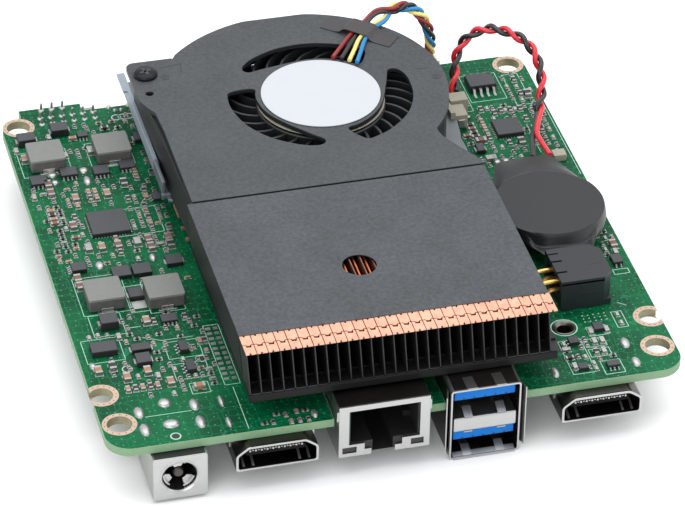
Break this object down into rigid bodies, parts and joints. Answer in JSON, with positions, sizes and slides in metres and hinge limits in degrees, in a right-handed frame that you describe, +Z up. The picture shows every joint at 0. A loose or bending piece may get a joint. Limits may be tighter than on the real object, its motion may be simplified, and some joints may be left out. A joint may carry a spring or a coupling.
{
  "type": "single board computer",
  "caption": "Square green computer main board with a copper heat sink under a grey plate, a radial blower, edge sockets for network, display, USB and power, and a sleeved coin cell.",
  "frame": {"origin": "centre of the footprint of the board and its sockets, on the plane the board stands on under its tallest sockets", "axes": "+X along the port edge from the power jack to the far display port, +Y from the port edge to the opposite edge, +Z up from the board to the heat sink and blower"},
  "size_m": [0.1016, 0.1072, 0.0292],
  "materials": {
    "solder_mask": "glossy green solder mask over a pale green laminate",
    "plated_steel": "bright plated sheet steel",
    "bare_tray": "plain plated sheet",
    "copper": "bare copper with a satin finish",
    "coated_base": "black coated metal",
    "grey_lid": "dark grey, very fine grain",
    "black_plastic": "black moulded plastic",
    "impeller_plastic": "dark grey moulded plastic",
    "blue_plastic": "bright blue moulded plastic",
    "white_label": "white label stock",
    "white_plastic": "off-white moulded plastic",
    "shrink_wrap": "satin shrink sleeve",
    "tape": "matt adhesive tape",
    "ferrite": "grey moulded ferrite",
    "chip_black": "dark grey chip mould",
    "package_green": "green laminate chip carrier",
    "silicon": "polished silicon",
    "bearing_brass": "sintered bronze",
    "black_screw": "black oxide steel",
    "wire_red": "red insulation",
    "wire_black": "black insulation",
    "wire_yellow": "yellow insulation",
    "wire_blue": "blue insulation"
  },
  "bodies": {
    "board": {"circuit_board": "solder_mask", "card_standoff": "plated_steel", "dc_jack_shell": "plated_steel", "dc_jack_insert": "black_plastic", "dc_jack_pin": "plated_steel", "hdmi_left_shell": "plated_steel", "hdmi_left_tongue": "black_plastic", "hdmi_right_shell": "plated_steel", "hdmi_right_tongue": "black_plastic", "ethernet_shield": "plated_steel", "ethernet_insert": "black_plastic", "usb_stack_shell": "plated_steel", "usb_divider": "plated_steel", "usb_upper_tongue": "blue_plastic", "usb_lower_tongue": "blue_plastic", "rear_usb_shell": "plated_steel", "rear_usb_tongue": "blue_plastic", "processor_package": "package_green", "processor_die": "silicon", "heat_sink_pedestal": "copper", "heat_sink_base": "coated_base", "heat_sink_screw_1": "plated_steel", "heat_sink_screw_2": "plated_steel", "heat_sink_screw_3": "plated_steel", "fin_stack": "copper", "fin_cover": "grey_lid", "blower_cover": "grey_lid", "blower_housing": "black_plastic", "blower_tray": "bare_tray", "ear_screw": "black_screw", "bearing_sleeve": "bearing_brass", "stator": "copper", "hub_label": "white_label", "cable_tape": "tape", "fan_wire_red": "wire_red", "fan_wire_black": "wire_black", "fan_wire_yellow": "wire_yellow", "fan_wire_blue": "wire_blue", "fan_plug": "white_plastic", "fan_header": "white_plastic", "battery_lead_red": "wire_red", "battery_lead_black": "wire_black", "battery_plug": "white_plastic", "battery_header": "white_plastic", "coin_cell": "plated_steel", "battery_sleeve": "shrink_wrap", "inductor_1": "ferrite", "inductor_2": "ferrite", "inductor_3": "ferrite", "inductor_4": "ferrite", "power_controller": "chip_black", "memory_chip": "chip_black", "sound_chip": "chip_black", "power_header": "black_plastic", "memory_socket": "black_plastic", "card_socket": "black_plastic"},
    "rotor": {"impeller": "impeller_plastic", "motor_shaft": "plated_steel"},
    "latch_left": {"memory_latch_left": "plated_steel"},
    "latch_right": {"memory_latch_right": "plated_steel"}
  },
  "joints": [
    {"name": "impeller_spin", "type": "hinge", "parent": "board", "child": "rotor", "pos_m": [0.0046, 0.02445, 0.02], "axis": [0, 0, 1], "continuous": true},
    {"name": "memory_latch_left_flex", "type": "hinge", "parent": "board", "child": "latch_left", "pos_m": [-0.0256, 0.03195, 0.0025], "axis": [0, 0, -1], "range_deg": [0, 4], "stiffness_Nm_per_rad": 0.02},
    {"name": "memory_latch_right_flex", "type": "hinge", "parent": "board", "child": "latch_right", "pos_m": [0.04, 0.03195, 0.0025], "axis": [0, 0, 1], "range_deg": [0, 4], "stiffness_Nm_per_rad": 0.02}
  ]
}
